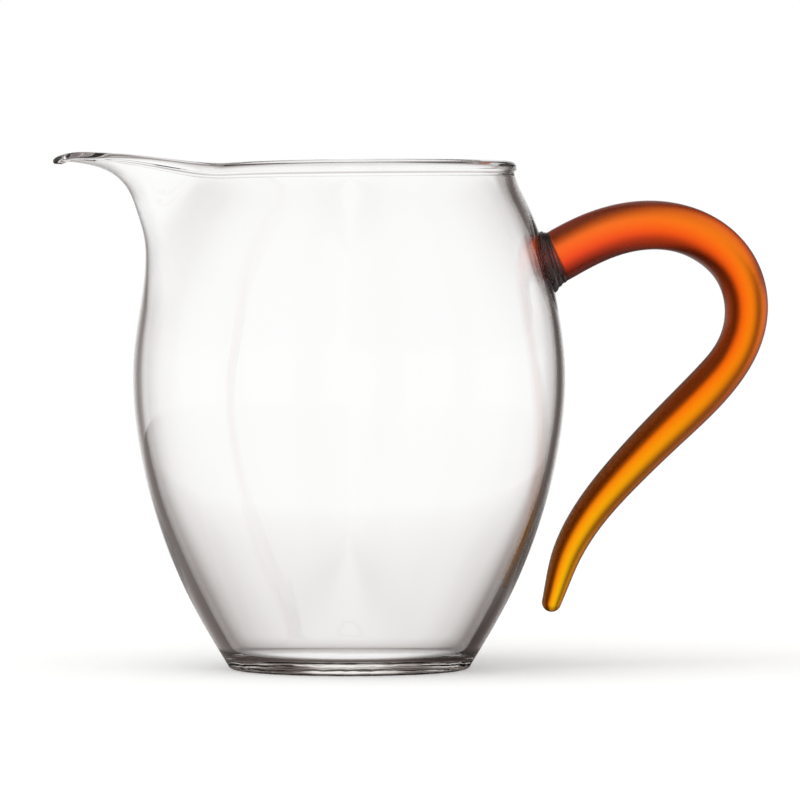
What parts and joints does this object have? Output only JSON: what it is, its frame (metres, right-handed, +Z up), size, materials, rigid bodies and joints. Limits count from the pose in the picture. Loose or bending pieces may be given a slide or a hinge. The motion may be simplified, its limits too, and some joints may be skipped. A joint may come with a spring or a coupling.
{
  "type": "tea fairness pitcher",
  "caption": "Clear blown glass tea pitcher with a rounded barrel, a drawn-out pouring lip and an open-ended handle of frosted amber glass rod.",
  "frame": {"origin": "centre of the foot, on the surface the pitcher stands on", "axes": "+Z up the barrel's axis, the pouring lip points along -X, the handle along +X"},
  "size_m": [0.1323, 0.08, 0.0958],
  "materials": {
    "clear_glass": "polished clear, fire-polished rim",
    "amber_glass": "satin frosted"
  },
  "bodies": {
    "root": {"glass_body": "clear_glass", "amber_handle": "amber_glass"}
  },
  "joints": []
}
